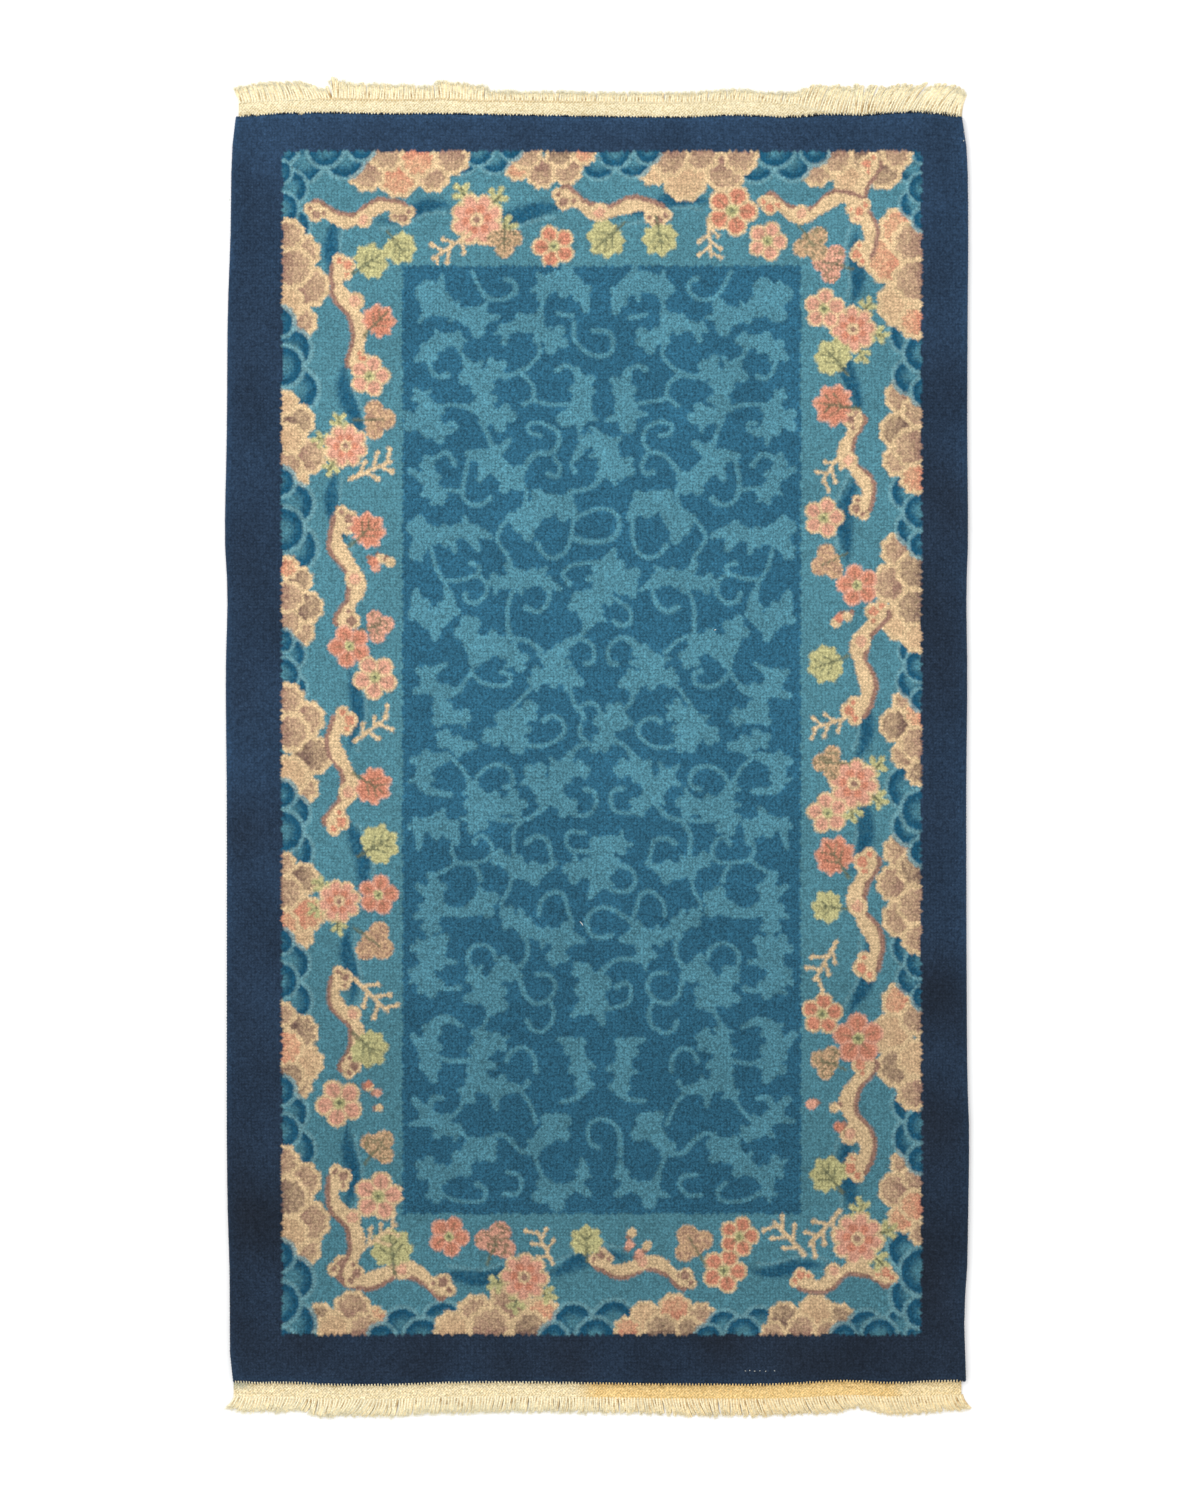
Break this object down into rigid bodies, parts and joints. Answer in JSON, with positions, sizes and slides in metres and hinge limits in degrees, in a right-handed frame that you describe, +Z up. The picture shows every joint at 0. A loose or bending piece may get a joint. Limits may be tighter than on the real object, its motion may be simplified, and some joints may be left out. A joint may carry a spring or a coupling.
{
  "type": "chinese art deco rug",
  "caption": "Flat hand-knotted wool rug with a navy outer band, a patterned turquoise border and a teal field, and a flat-woven cotton band with a short cut fringe at each end.",
  "frame": {"origin": "on the surface that the rug lies on, under the centre of the whole rug with its fringes", "axes": "+Z up through the pile, +Y along the rug's length towards the end where part of the woven band has come undone, +X across it to the right"},
  "size_m": [0.9187, 1.653, 0.011],
  "materials": {
    "wool_pile": "cut wool pile, matt with a soft nap",
    "cotton_warp": "undyed plied cotton, matt"
  },
  "bodies": {
    "root": {"pile_rug": "wool_pile", "end_weave_top": "cotton_warp", "end_weave_bottom": "cotton_warp"}
  },
  "joints": []
}
